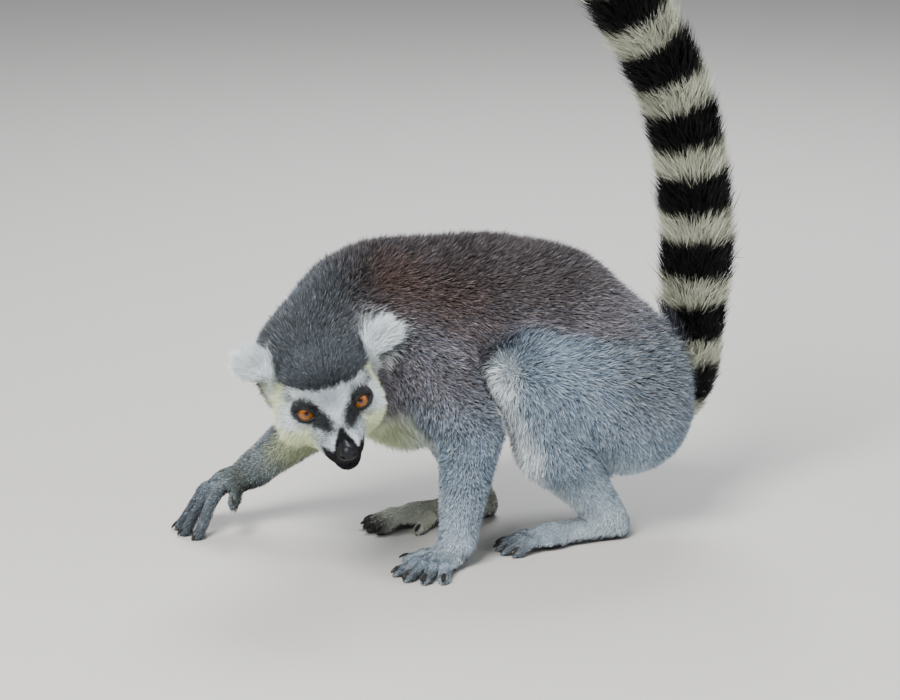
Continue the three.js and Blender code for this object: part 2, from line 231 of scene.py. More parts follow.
SKULL = blend(12, [
    ball((-37, 0, 9), (39, 35, 31)),
    ball((-12, 0, 9), (22, 27, 18)),
    bone((2, 0, -5), (37, 0, -19), 16, 9.5),
    bone((-12, 0, -18), (33, 0, -27), 16, 6.5),
])
CHEEKS = blend(10, [ball((-17, 20, -8), (22, 18, 20)), bone((-4, 13, -15), (20, 5, -20), 11, 8)])
HEAD = blend(10, [head_shape(SKULL), head_shape(CHEEKS, mirrored=True)])
EYES = [np.array([-2.0, side * EYE_SPACING / 2, 0.0]) for side in (-1, 1)]
LIDS = head_shape(ball(EYES[1], (LID_RADIUS,) * 3), mirrored=True)
NOSE_AT = np.array([45.0, 0, -18])
EAR_ROOT = np.array([-38.0, 28.0, 12.0])
PINNA = blend(3, [
    ball((-38, 43.5, 26), (3.2, 8.5, 11), (-40, 0, 0)),
    bone(EAR_ROOT, (-38, 37, 21), 7.5, 4),
])
CUP = ball((-31.5, 43, 27), (5.5, 5, 7), (-38, 0, 0))
EAR_EDGE = 33.0  # the white starts this far out from the middle of the head
EARS = head_shape(Shape(lambda q: carve(PINNA.far(q), CUP.far(q), 2), PINNA.low, PINNA.high), mirrored=True)

# ---- limbs ----
LIMBS = {
    "left": {
        "side": -1,
        "shoulder": (-30, -28, 154), "elbow": (4, -54, 98), "wrist": (-8, -60, 20),
        "hand": {"at": (-17, -62, 7), "heading": 220, "thumb": -1, "length": 27, "thumb_rest": DIGIT_REST},
        "hip": (132, -27, 100), "knee": (49, -56, 136), "ankle": (114, -36, 22), "foot": 188,
    },
    "right": {
        "side": 1,
        "shoulder": (-36, 28, 152), "elbow": (-66, 50, 98), "wrist": (-126, 70, 46),
        "hand": {"at": (-139, 70, 39), "heading": 176, "thumb": 1, "length": 30, "thumb_rest": 31.0},
        "hip": (124, 27, 104), "knee": (28, 60, 138), "ankle": (36, 42, 24), "foot": 186,
    },
}
for limb in LIMBS.values():
    for joint in ("shoulder", "elbow", "wrist", "hip", "knee", "ankle"):
        limb[joint] = np.array(limb[joint], float)


def compass(heading):
    return np.array([math.cos(math.radians(heading)), math.sin(math.radians(heading)), 0.0])


def ahead(start, heading, distance, z):
    """The place a distance from another along a compass heading, at height z."""
    place = np.asarray(start, float) + compass(heading) * distance
    return np.array([place[0], place[1], z])


def digit(root, heading, size, radius, rest=DIGIT_REST):
    """A digit's line: over a raised knuckle down to its tip, which rests on the floor unless told."""
    knuckle = ahead(root, heading, size * 0.5, max(8, root[2] * 0.76))
    tip = ahead(root, heading, size, rest)
    end = ahead(root, heading, size + DIGIT_TIP * 0.8, rest - DIGIT_REST * 0.4 - root[2] * 0.15)
    return {"places": [root, knuckle, tip, end], "radii": [radius, radius * 0.95, DIGIT_TIP, DIGIT_TIP * 0.5]}


def hand(limb):
    at, heading, thumb, size, thumb_rest = limb["hand"].values()
    palm = blend(6, [
        bone(limb["wrist"], at, 12, 9.5),
        ball(ahead(at, heading, 4, at[2]), (16, 14, 8.5), (0, 0, heading)),
    ])
    digits = [
        digit(ahead(at, heading + spread * 1.2, 10, at[2]), heading + spread, size + 4 * math.sin(i + 0.6), 5)
        for i, spread in enumerate((-27, -9, 9, 27))
    ]
    thumb_root = ahead(at, heading + thumb * 70, 6, at[2])
    digits.append(digit(thumb_root, heading + thumb * 75, size * 0.85, 5.2, thumb_rest))
    return palm, digits


def foot(limb):
    ankle, heading = limb["ankle"], limb["foot"]
    heel, front = ahead(ankle, heading, -9, 9.5), ahead(ankle, heading, 46, 7.5)
    palm = blend(6, [
        bone(ankle, heel, 14.5, 11.5),
        bone(heel, front, 11.5, 9),
        ball(front, (14, 13, 8.5), (0, 0, heading)),
    ])
    digits = [
        digit(ahead(front, heading + 3 * spread, 7, 7.5), heading + 0.8 * spread, 30 - 2 * abs(i - 1.5), 5)
        for i, spread in enumerate((-20, -8, 4, 16))
    ]
    digits.append(digit(ahead(ankle, heading, 24, 8), heading + limb["side"] * 38, 36, 6))
    return palm, digits


# ---- tail ----
TAIL_BENDS = np.array([
    (168, 92), (190, 84), (201, 106), (201, 140), (199, 180), (200, 215), (197, 250), (189, 296), (173, 342),
    (146, 388), (119, 432), (96, 480), (88, 530), (100, 580),
], float)
TAIL_RINGS = 48


def centripetal(bends, count):
    """Evenly spaced places on a centripetal Catmull-Rom curve through the bends."""
    p = np.vstack([2 * bends[0] - bends[1], bends, 2 * bends[-1] - bends[-2]])
    dense = []
    for a, b, c, d in zip(p, p[1:], p[2:], p[3:]):
        ta, tb, tc = (math.sqrt(np.linalg.norm(v)) for v in (b - a, c - b, d - c))
        m1 = ((b - a) / ta - (c - a) / (ta + tb) + (c - b) / tb) * tb
        m2 = ((c - b) / tb - (d - b) / (tb + tc) + (d - c) / tc) * tb
        t = np.linspace(0, 1, 60, endpoint=False)[:, None]
        dense.append(b + m1 * t + (3 * (c - b) - 2 * m1 - m2) * t**2 + (2 * (b - c) + m1 + m2) * t**3)
    dense = np.vstack(dense + [bends[-1:]])
    run = np.concatenate([[0], np.cumsum(np.linalg.norm(np.diff(dense, axis=0), axis=1))])
    even = np.linspace(0, run[-1], count + 1)
    return np.stack([np.interp(even, run, dense[:, i]) for i in (0, 1)], 1), run[-1]


tail_line, TAIL_LENGTH = centripetal(TAIL_BENDS, TAIL_RINGS)
TAIL_PLACES = np.stack([tail_line[:, 0], np.zeros(TAIL_RINGS + 1), tail_line[:, 1]], 1)


def tail_radius(t):
    """The coat's radius: thin at the root, full over the first fifth, round at the tip."""
    return TAIL_RADIUS * np.minimum(1, 0.3 + 3.2 * t) * np.sqrt(np.clip(9 * (1.004 - t), 0, 1))


def tail_depth(t):
    return tail_radius(t) * 0.55


def along_tail(points):
    """How far along the tail each point is, from 0 to 1."""
    best, share = np.full(len(points), 1e9), np.zeros(len(points))
    for i, (a, b) in enumerate(zip(TAIL_PLACES, TAIL_PLACES[1:])):
        d, along = points - a, b - a
        t = np.clip(d @ along / (along @ along), 0, 1)
        r = length(d - t[:, None] * along)
        closer = r < best
        best[closer], share[closer] = r[closer], (i + t[closer]) / TAIL_RINGS
    return share


tail_t = np.linspace(0, 1, TAIL_RINGS + 1)
TAIL = sharp(chain(list(TAIL_PLACES), list(tail_radius(tail_t) - tail_depth(tail_t))), 26.0)


# ---- regions: what the skin is made of, and how the coat lies on each ----
# depth(points) is how far the coat's tips stand off the skin. flow(points) is the way that its hairs point.
class Region:
    def __init__(self, name, shape, depth, flow):
        self.name, self.shape, self.depth, self.flow = name, shape, depth, flow

    def far(self, points):
        """The skin's distance: the coat's outline less its depth, but BARE shapes are skin already."""
        return self.shape.near(points) + (0 if self.name in BARE else self.depth(points))


BARE = ("ears", "tail")


def core_flow(points):
    x = points[:, 0]
    low = smooth(-points[:, 2], -150, -90)
    back = smooth(x, 105, 175)
    neck = smooth(-x, 45, 95)[:, None]
    trunk = np.stack([1 - 0.8 * back, 0 * x, -0.28 - 0.25 * low - 0.7 * back], 1)
    return lerp(trunk, np.array([0.75, 0.55, -0.35]), neck)


def head_depth(points):
    q = in_head(points)
    return 1.1 + 3.9 * smooth(-q[:, 0], -24, 10)


def head_flow(points):
    q = in_head(points)
    side = np.sign(q[:, 1])
    cheek = smooth(-q[:, 2], -4, 14) * smooth(-q[:, 0], -20, 4)
    flow = np.stack([-1 + 0.35 * cheek, side * (0.15 + 0.75 * cheek), 0.25 - 0.75 * cheek], 1)
    for eye in EYES:
        off = q - eye
        flow += 1.1 * unit(off) * smooth(-length(off), -19, -9)[:, None]
    return flow @ HEAD_AXES


def ear_flow(points):
    """Fanned out from the root: upward at the ear's inner edge, outward at its lower one."""
    _, l, u = in_head(points).T
    outward, upward = np.maximum(np.abs(l) - EAR_EDGE, 0.5), 1.2 + 0.58 * np.maximum(u - 12, 0)
    return unit(np.stack([0 * l, np.sign(l) * outward, upward], 1)) @ HEAD_AXES


def arm_flow(limb, points):
    """Hair that points down the arm, round the elbow, and droops."""
    upper, lower = unit(limb["elbow"] - limb["shoulder"]), unit(limb["wrist"] - limb["elbow"])
    past = smooth((points - limb["elbow"]) @ unit(upper + lower), -18, 18)[:, None]
    return lerp(upper + [0.12, 0, -DROOP], lower + [0.06, 0, -DROOP * 0.3], past)


def leg_flow(limb, points):
    """Hair that lies backward over the top of the thigh, turns down its side, and follows the shank."""
    shank = unit(limb["ankle"] - limb["knee"])
    down = smooth(-points[:, 2], -165, -112)[:, None]
    past = smooth((points - limb["knee"]) @ shank, 20, 70)[:, None]
    return lerp(lerp(np.array([1.0, 0, -0.22]), np.array([0.42, 0, -0.9]), down), shank, past)


def paw_flow(heading, points):
    return np.broadcast_to(compass(heading) + [0, 0, -0.3], points.shape)


def steady(depth, points):
    return np.full(len(points), depth)


def tapering(end, depths, reach, points):
    """A coat depth that changes with the distance from a limb's end."""
    return lerp(*depths, smooth(length(points - end), 12, reach))


def tail_flow(points):
    tangents = unit(np.gradient(TAIL_PLACES, axis=0))
    share = along_tail(points) * TAIL_RINGS
    i = np.minimum(share.astype(int), TAIL_RINGS - 1)
    return lerp(tangents[i], tangents[i + 1], (share - i)[:, None])


CORE = blend(26, [TRUNK, NECK])
REGIONS = {
    "core": Region("core", CORE, partial(steady, CORE_COAT), core_flow),
    "head": Region("head", HEAD, head_depth, head_flow),
    "ears": Region("ears", EARS, partial(steady, EAR_COAT), ear_flow),
    "tail": Region("tail", TAIL, lambda points: tail_depth(along_tail(points)), tail_flow),
}
PAWS = {}


def paw_far(palm, digits, points):
    return np.min([melt(palm.far(points), digit.near(points, 14.0), 5) for digit in digits], axis=0)


for side_name, limb in LIMBS.items():
    hip, knee, ankle, wrist = (limb[joint] for joint in ("hip", "knee", "ankle", "wrist"))
    calf = lerp(knee, ankle, 0.45) + [-8, 0, -5]
    arm = blend(4, chain([limb["shoulder"], limb["elbow"], wrist], [30, 25, 14]))
    leg = blend(6, [bone(hip, knee, 53, 31), *chain([knee, calf, ankle], [31, 30, 14])])
    arm_depth, leg_depth = partial(tapering, wrist, ARM_COAT, 110), partial(tapering, ankle, LEG_COAT, 110)
    REGIONS["arm_" + side_name] = Region("arm", arm, arm_depth, partial(arm_flow, limb))
    REGIONS["leg_" + side_name] = Region("leg", leg, leg_depth, partial(leg_flow, limb))
    for paw_name, start, heading, (palm, lines) in (
        ("hand_" + side_name, wrist, limb["hand"]["heading"], hand(limb)),
        ("foot_" + side_name, ankle, limb["foot"], foot(limb)),
    ):
        PAWS[paw_name] = {"start": start, "heading": heading, "lines": lines}
        digits = [blend(2.5, chain(line["places"], line["radii"])) for line in lines]
        shape = Shape(partial(paw_far, palm, digits), *around([palm, *digits]))
        paw_depth = partial(tapering, start, PAW_COAT, 60)
        REGIONS[paw_name] = Region("paw", shape, paw_depth, partial(paw_flow, heading))


def limb_names(side_name):
    pairs = (("arm_", "hand_", ARM_MELT), ("leg_", "foot_", LEG_MELT))
    return [(limb + side_name, paw + side_name, melt) for limb, paw, melt in pairs]


def skin_far(points):
    """The skin's signed distance: each limb melts into the trunk, and not into another limb."""
    far = {name: region.far(points) for name, region in REGIONS.items()}
    base = melt(far["core"], melt(far["head"], LIDS.near(points), LID_MELT), HEAD_MELT)
    base = melt(melt(base, far["ears"], EAR_MELT), far["tail"], TAIL_MELT)
    skin = base
    for side_name in LIMBS:
        for limb_name, paw_name, k in limb_names(side_name):
            skin = np.minimum(skin, melt(base, melt(far[limb_name], far[paw_name], PAW_MELT), k))
    return skin


def slope(points, step=0.25):
    """The skin's distance at points, and its gradient."""
    d = skin_far(points)
    gradient = np.stack([(skin_far(points + step * axis) - d) / step for axis in np.eye(3)], 1)
    return d, gradient


def settle(points, height=0.0, rounds=2):
    """Points moved to a height over the skin, and the way out of the skin there."""
    for _ in range(rounds):
        d, gradient = slope(points)
        points = points - ((d - height) / np.maximum(dot(gradient, gradient), 0.15))[:, None] * gradient
    return points, unit(gradient)


# ---- colours and markings ----
def srgb(*channels):
    c = np.array(channels) / 255
    return np.where(c < 0.04045, c / 12.92, ((c + 0.055) / 1.055) ** 2.4)


CAP = srgb(76, 82, 88)
BACK = srgb(84, 81, 84)
RUFOUS = srgb(100, 82, 76)
FLANK = srgb(118, 115, 122)
LIMB = srgb(140, 157, 174)
SHIN = srgb(204, 218, 228)
RUMP = srgb(124, 134, 144)
HIP = srgb(116, 123, 130)
NAPE = srgb(80, 85, 91)
WHITE = srgb(224, 233, 239)
CREAM = srgb(211, 219, 180)
SPECK = srgb(126, 138, 150)
# The far arm's and far hand's grey: the limb grey made darker and greener, as painted shade.
FAR_ARM_PAINTED_SHADE = srgb(104, 112, 110)
# The far foot's creamy fur, painted near white as painted light against the shade under the body.
FAR_FOOT_CREAM_AND_PAINTED_LIGHT = srgb(236, 238, 222)
BROW = srgb(52, 57, 62)
MASK = srgb(27, 27, 30)
MUZZLE = srgb(22, 24, 28)
RING_WHITE = srgb(206, 208, 190)
RING_BLACK = srgb(18, 18, 20)
TAIL_ROOT = srgb(92, 92, 94)
PALM = srgb(30, 29, 31)
LID = srgb(20, 19, 20)
NOSE_BLACK = srgb(19, 21, 27)
NAIL_BLACK = srgb(44, 41, 40)


class Waves:
    """A smooth noise: sines of fixed directions, about 0 and mostly between -1 and 1."""

    def __init__(self, size, seed, count=14):
        draw = np.random.default_rng(seed)
        self.k = unit(draw.normal(size=(count, 3))) * (2 * math.pi / size)
        self.k *= draw.uniform(0.6, 1.7, (count, 1))
        self.phase = draw.uniform(0, 2 * math.pi, count)

    def __call__(self, points):
        return np.sin(points @ self.k.T + self.phase).sum(1) / math.sqrt(len(self.phase)) * 1.2


ragged = Waves(5, 11)
flecked = Waves(1.8, 13)
mottle = Waves(26, 12)


def spot(points, centre, radius):
    return hill(length(points - centre), radius)


def tint(colour, other, share):
    return lerp(colour, other, np.clip(share, 0, 1)[:, None])


def all_over(colour, points):
    return np.tile(colour, (len(points), 1))


def paint_core(points, normals):
    x, y, z = points.T
    rag = ragged(points)
    colour = tint(all_over(FLANK, points), BACK, smooth(z + 3 * rag, 160, 205))
    mirrored = np.stack([x, -np.abs(y), z], 1)
    rufous = 0.8 * spot(mirrored, (-47, -32, 207), 24) + 0.5 * spot(mirrored, (-5, -42, 192), 28)
    colour = tint(colour, RUFOUS, rufous + 0.15 * spot(mirrored, (45, -30, 195), 40))
    colour = tint(colour, NAPE, smooth(-x + 3 * rag, 52, 100) * smooth(z, 120, 150))
    colour = tint(colour, RUMP, smooth(x + 2 * rag, 112, 150) * smooth(-z, -190, -130))
    colour = tint(colour, WHITE, smooth(x + rag, 146, 165) * smooth(-z, -84, -66))
    forward = smooth(-x, 10, 50)
    under = smooth(-normals[:, 2] + 0.1 * rag, 0.1, 0.55)
    under = under * smooth(-z, -150 + 32 * forward, -115 + 18 * forward)
    throat = forward * smooth(-z + 3 * rag, -113, -92)
    colour = tint(colour, WHITE, under)
    f, l, u = in_head(points).T
    band = smooth(-l, 22, 28) * smooth(u + rag, -30, -20) * smooth(-u + rag, -19, -11) * smooth(f, -58, -48)
    return tint(colour, CREAM, np.maximum.reduce([throat, under * smooth(-x, 0, 50), band]) * 0.9)


def inner_side(limb, points, normals):
    return smooth(-normals[:, 1] * limb["side"] + 0.12 * ragged(points), 0.25, 0.7)


def paint_arm(limb, points, normals):
    far_side, from_wrist = limb["side"] > 0, length(points - limb["wrist"])
    # The far arm is painted darker and greener than the near one, and less pale at the wrist: painted shade.
    colour = tint(all_over(LIMB, points), FAR_ARM_PAINTED_SHADE, np.full(len(points), 0.75 * far_side))
    colour = tint(colour, FLANK, 0.9 * smooth(points[:, 2] + 3 * ragged(points), 84, 140))
    colour = tint(colour, SHIN, (0.15 if far_side else 0.5) * smooth(-from_wrist, -60, -10))
    return tint(colour, CREAM, 0.85 * inner_side(limb, points, normals) * smooth(from_wrist, 12, 40))


def paint_leg(limb, points, normals):
    """Paler down the shank, greyer over the hip, and white along the inside and the thigh's front edge."""
    x, _, z = points.T
    rag = ragged(points)
    colour = tint(all_over(LIMB, points), SHIN, 0.8 * smooth(-length(points - limb["ankle"]), -75, -20))
    colour = tint(colour, HIP, 0.75 * (smooth(x + 3 * rag, 78, 140) * smooth(z, 70, 115)))
    low = 0.12 * smooth(-z, -110, -60)
    front = smooth(-normals[:, 0] + 0.1 * rag + low, 0.52, 0.78) * smooth(-z, -172, -150)
    inner = inner_side(limb, points, normals)
    return tint(colour, WHITE, np.maximum(0.9 * inner * smooth(-x, -150, -110), front))


def paint_paw(name, points, normals):
    """Pale and furred on top, dark and bare under; the far hand is greyer, as painted shade, and the far foot
    creamier and paler, as painted light against the shade under the body.
    """
    rag = ragged(points)
    out = (points - PAWS[name]["start"]) @ compass(PAWS[name]["heading"])
    reach = 44 if name[0] == "h" else 72
    fur = {"hand_right": FAR_ARM_PAINTED_SHADE, "foot_right": FAR_FOOT_CREAM_AND_PAINTED_LIGHT}.get(name, SHIN)
    # The far foot takes little of the limb grey: painted light against the shade under the body.
    greyer, bare_from, dark = (0.1, 0.9, 0.9) if name == "foot_right" else (0.5, 0.8, 0.5)
    colour = tint(all_over(fur, points), LIMB, smooth(out + rag, reach * 0.3, reach * 0.9) * greyer)
    tips = dark * smooth(out + 2 * rag, reach * bare_from, reach * (bare_from + 0.3))
    under = smooth(-normals[:, 2] + 0.1 * rag, 0.15, 0.5)
    if name != "hand_right":
        under = under * smooth(-points[:, 2], -11, -5)
    return tint(colour, PALM, np.maximum(tips, under))


def paint_head(points, normals):
    f, l, u = in_head(points).T
    rag, fleck = ragged(points), flecked(points)
    a = np.abs(l)
    colour = all_over(WHITE, points)
    # White face, creamy below and behind the cheeks, and speckled beside the muzzle.
    low = smooth(-u - 0.25 * (a - 20) + rag, 3, 14) * smooth(-f, -24, -6)
    colour = tint(colour, CREAM, low + smooth(-f, 8, 22))
    beside = smooth(-length(np.stack([f - 20, 0.9 * (a - 15), u + 9], 1)), -17, -7)
    colour = tint(colour, SPECK, beside * smooth(fleck, -0.9, 0.6))
    # The dark cap, whose edge crosses the forehead and drops behind the cheeks.
    edge = 17.2 + 0.7 * rag + 0.02 * (f + 3)
    cap = smooth(u - edge, -1.2, 1.2)
    behind = smooth(-f + 0.8 * rag - np.where(l < 0, 38, 23), 0, 6) * smooth(u + rag, -26, -14)
    colour = tint(colour, CAP, np.maximum(cap, behind))
    colour = tint(colour, BROW, 0.7 * cap * smooth(-u, -30, -18) * smooth(f, -24, -8))
    colour = tint(colour, NAPE, smooth(-f, 40, 58))
    # Dark round each eye, drawn out towards the nose.
    inward, upper = 20.5 - a, u - 2.4
    across = inward * math.cos(MASK_SLANT) - upper * math.sin(MASK_SLANT)
    rise = inward * math.sin(MASK_SLANT) + upper * math.cos(MASK_SLANT)
    reach = np.where(across > 0, 18.6, 11.0)
    high = np.where(rise > 0, 8.8, 8.2) * (1 - 0.16 * smooth(across, 2, 14))
    patch = np.sqrt(np.abs(across / reach) ** 2.2 + np.abs(rise / high) ** 2)
    mask = smooth(-patch - 0.05 * rag - 0.07 * fleck, -1.2, -0.78) * smooth(f, -10, -2)
    colour = tint(colour, MASK, 0.96 * mask)
    # A speckled dark streak joins the mask's outer corner to the cap.
    streak = smooth(-np.abs(a - 27.5 - 0.12 * u), -4.5, -1.5) * smooth(u, 5, 9) * smooth(-u, -18.5, -16)
    colour = tint(colour, BROW, 0.85 * streak * smooth(fleck, -0.7, 0.5) * smooth(f, -22, -14))
    # The black snout narrows to a point between the eyes' masks.
    half = 1.5 + 9.5 * smooth(f, 29, 47) + 14 * smooth(-u, 15, 24)
    snout = smooth(f + 0.6 * rag, 27, 32) * smooth(half - a + 0.4 * rag, -1, 1)
    lips = smooth(f + 0.9 * rag, 18, 25) * smooth(-u, 15.5, 19)
    chin = smooth(f + 0.8 * rag, 10, 20) * smooth(-u, 24, 27) * 0.6
    return tint(colour, MUZZLE, np.maximum.reduce([snout, lips, chin]))


MASK_SLANT = 0.4
# The white rings' middles are at start + pitch * k + growth * k * k along the tail.
RING_START, RING_PITCH, RING_GROWTH = 27.0, 46.0, 0.7


def paint_tail(points, normals):
    run = along_tail(points) * TAIL_LENGTH + 1.2 * ragged(points)
    under_root = RING_PITCH**2 + 4 * RING_GROWTH * np.maximum(run - RING_START, -600)
    k = (-RING_PITCH + np.sqrt(under_root)) / (2 * RING_GROWTH)
    white = smooth(-np.abs(k - np.round(k)), -0.24, -0.15) * smooth(k, -0.45, -0.3)
    colour = tint(all_over(RING_BLACK, points), RING_WHITE, white)
    colour = tint(colour, TAIL_ROOT, smooth(-run, -34, -12))
    return tint(colour, RING_BLACK, smooth(run, TAIL_LENGTH - 42, TAIL_LENGTH - 34))


def paint_ears(points, _):
    f, l, u = in_head(points).T
    colour = tint(all_over(WHITE, points), CREAM, 0.2 * smooth(-u, -24, -10))
    colour = tint(colour, FLANK, 0.9 * smooth(l, 30, 34) * smooth(-u - 0.8 * (f + 38), -10, -4))
    return tint(colour, CAP, smooth(-np.abs(l), -EAR_EDGE - 0.5, 1.5 - EAR_EDGE) * smooth(u, 14, 17))


PAINTERS = {"core": paint_core, "head": paint_head, "ears": paint_ears, "tail": paint_tail}
for side_name, limb in LIMBS.items():
    PAINTERS["arm_" + side_name] = partial(paint_arm, limb)
    PAINTERS["leg_" + side_name] = partial(paint_leg, limb)
PAINTERS.update({name: partial(paint_paw, name) for name in PAWS})
NAMES = list(REGIONS)


def shares(points, softness):
    """How much of each region a point belongs to, as rows that sum to 1."""
    far = np.stack([REGIONS[name].far(points) for name in NAMES], 1)
    near = np.exp(-np.clip((far - far.min(1, keepdims=True)) / softness, 0, 60))
    return near / near.sum(1, keepdims=True)


def mix(points, softness, value, size):
    """A region's value at each point, mixed by the point's shares."""
    weights = shares(points, softness)
    out = np.zeros((len(points), size))
    for i, name in enumerate(NAMES):
        some = weights[:, i] > 0.004
        if some.any():
            out[some] += weights[some, i:i + 1] * np.asarray(value(name, some)).reshape(-1, size)
    return out


def markings(points, normals, softness=2.2):
    return mix(points, softness, lambda name, some: PAINTERS[name](points[some], normals[some]), 3)


def coat_depth(points):
    return mix(points, 4.0, lambda name, some: REGIONS[name].depth(points[some]), 1)[:, 0]


def coat_flow(points):
    return mix(points, 9.0, lambda name, some: unit(REGIONS[name].flow(points[some])), 3)


# ---- meshes ----
eye_low, eye_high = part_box("eye_left")
OFFSET = on_head(EYES[1]) - np.array((eye_low + eye_high) / 2) * 1000
FLOOR_UP = np.array([0, 0, 1.0])


def place(points):
    return (np.asarray(points) - OFFSET) / 1000


def mesh_object(name, points, corners, sizes, material):
    """An object from points in millimetres, the corners of all its faces in a row, and each face's size."""
    mesh = bpy.data.meshes.new(name)
    mesh.vertices.add(len(points))
    mesh.vertices.foreach_set("co", place(points).astype(np.float32).ravel())
    mesh.loops.add(len(corners))
    mesh.loops.foreach_set("vertex_index", np.asarray(corners, np.int32))
    sizes = np.asarray(sizes, np.int32)
    mesh.polygons.add(len(sizes))
    mesh.polygons.foreach_set("loop_start", np.concatenate([[0], np.cumsum(sizes)[:-1]]).astype(np.int32))
    mesh.polygons.foreach_set("use_smooth", np.ones(len(sizes), bool))
    mesh.update(calc_edges=True)
    mesh.validate()
    mesh.materials.append(material)
    made = bpy.data.objects.new(name, mesh)
    bpy.context.scene.collection.objects.link(made)
    return made


def add_values(obj, name, kind, key, values):
    """An attribute of the mesh, with a value for each of its points."""
    attribute = obj.data.attributes.new(name, kind, "POINT")
    attribute.data.foreach_set(key, np.asarray(values, np.float32).ravel())


def add_marks(obj, colours):
    add_values(obj, "Marks", "FLOAT_COLOR", "color", np.insert(colours, 3, 1, axis=1))


def net_of(far, low, high, step):
    """The surface of a field as points and quads, looked at finely only near the surface."""
    low, high = np.asarray(low, float), np.asarray(high, float)
    n = (np.ceil((high - low) / step / 4).astype(int) + 1) * 4
    axes = [low[i] + step * np.arange(n[i]) for i in range(3)]
    coarse = np.stack(np.meshgrid(*(a[::4] + 1.5 * step for a in axes), indexing="ij"), -1).reshape(-1, 3)
    values = far(coarse).reshape(n // 4)
    for axis in range(3):
        values = np.repeat(values, 4, axis)
    index = np.argwhere(np.abs(values) < step * 8)
    values[tuple(index.T)] = far(low + step * index)
    grid = openvdb.FloatGrid(background=float(step))
    grid.copyFromArray(np.clip(values, -step * 3, step * 3).astype(np.float32))
    points, quads = grid.convertToQuads()
    return low + step * points, quads[:, ::-1]


def divided(points, quads, chosen):
    """The mesh with the edges of some quads cut in half, once for each test in chosen."""
    mesh = bmesh.new()
    vertices = [mesh.verts.new(p) for p in points]
    for quad in quads:
        mesh.faces.new([vertices[i] for i in quad])
    for test in chosen:
        faces = list(mesh.faces)
        middles = np.array([f.calc_center_median() for f in faces])
        edges = {e for f, wanted in zip(faces, test(middles)) if wanted for e in f.edges}
        bmesh.ops.subdivide_edges(mesh, edges=list(edges), cuts=1, use_grid_fill=True)
    bmesh.ops.triangulate(mesh, faces=[f for f in mesh.faces if len(f.verts) > 4])
    mesh.verts.index_update()
    out = np.array([v.co[:] for v in mesh.verts])
    faces = [[v.index for v in f.verts] for f in mesh.faces]
    mesh.free()
    return out, faces


# ---- skin ----
def eye_frame(side):
    """The way an eye's opening faces, the way to its outer corner, and up its lids, in the head's frame."""
    facing = unit([0.94, 0.27 * side, 0.13])
    outward = unit(np.array([0, side, 0]) - facing * facing[1] * side)
    upward = unit(np.array([0, 0, 1.0]) - facing * facing[2] - outward * outward[2])
    slant = math.radians(EYE_SLANT)
    return (
        facing,
        outward * math.cos(slant) + upward * math.sin(slant),
        upward * math.cos(slant) - outward * math.sin(slant),
    )


EYE_SLANT = 21  # the outer corners are higher, in degrees
LID_HALF_WIDTH = 7.2
LID_RISE = 3.8
LID_DROP = 4.1


def eye_gap(q, side):
    """How far inside the gap between an eye's lids each place is, and its distance and way from the eye."""
    facing, outward, upward = eye_frame(side)
    off = q - EYES[side > 0]
    r = length(off)
    way = off / np.maximum(r, 1e-6)[:, None]
    a, b = way @ outward * LID_RADIUS, way @ upward * LID_RADIUS
    bow = 1 - (a / LID_HALF_WIDTH) ** 2
    lid = np.minimum(LID_RISE * np.maximum(bow, 0) ** 0.8 - b, LID_DROP * np.maximum(bow, 0) ** 0.9 + b)
    gap = np.where(bow > 0, lid, -np.hypot(np.abs(a) - LID_HALF_WIDTH, b))
    return np.where(way @ facing > 0.2, gap, -9.0), r, way


def mouth_line(f):
    return -24.6 + 0.16 * (44 - f)


def sculpt(points, normals):
    """Opens the lids over the eyeballs, and folds the skin at the lids and the mouth."""
    q = in_head(points)
    close = (length(q - np.array([10.0, 0, -6])) < 60) & (q[:, 0] > -12)
    q, n = q[close], normals[close] @ HEAD_AXES.T
    for side in (-1, 1):
        gap, r, way = eye_gap(q, side)
        open_share = smooth(gap, -0.2, 0.5) * (r < 13)
        move = (SOCKET_RADIUS - r) * open_share
        move += (0.3 * hill(gap + 0.55, 0.5) - 0.4 * hill(gap + 2.2, 0.5)) * (r < 12)
        q = q + way * move[:, None]
    f, l, u = q.T
    groove = hill(u - mouth_line(f), 0.8) * smooth(f, 10, 18) * smooth(-n[:, 2], -0.9, -0.3)
    philtrum = hill(l, 0.7) * smooth(f, 38, 42) * smooth(-u, 18, 21)
    q = q - n * (0.9 * groove + 0.6 * philtrum)[:, None]
    points = points.copy()
    points[close] = on_head(q)
    return points


def face_part(low_f, reach):
    def test(middles):
        q = in_head(middles)
        return (q[:, 0] > low_f) & (np.abs(q[:, 1]) < reach) & (np.abs(q[:, 2] + 4) < reach)

    return test


def eye_part(middles):
    q = in_head(middles)
    return np.minimum(*(length(q - eye - np.array([4.0, 0, 0])) for eye in EYES)) < 12.5


def paw_part(middles):
    return (middles[:, 2] < 18) | ((middles[:, 0] < -120) & (middles[:, 1] > 40) & (middles[:, 2] < 60))


# ---- materials ----
class Finish:
    """A new material, and its nodes."""

    def __init__(self, name, inputs):
        self.material = bpy.data.materials.new(name)
        self.material.use_nodes = True
        self.nodes, self.links = self.material.node_tree.nodes, self.material.node_tree.links
        self.shader = self.nodes["Principled BSDF"]
        self.set(self.shader, inputs)

    def set(self, node, inputs):
        """Gives a node's inputs their constants, or wires them to other nodes' outputs."""
        for key, value in inputs.items():
            if isinstance(value, bpy.types.NodeSocket):
                self.links.new(value, node.inputs[key])
            else:
                node.inputs[key].default_value = value

    def add(self, kind, output, inputs, operation=None):
        """A new node's output."""
        node = self.nodes.new("ShaderNode" + kind)
        if operation:
            node.operation = operation
        self.set(node, inputs)
        return node.outputs[output]

    def attribute(self, name, output):
        node = self.nodes.new("ShaderNodeAttribute")
        node.attribute_name = name
        return node.outputs[output]


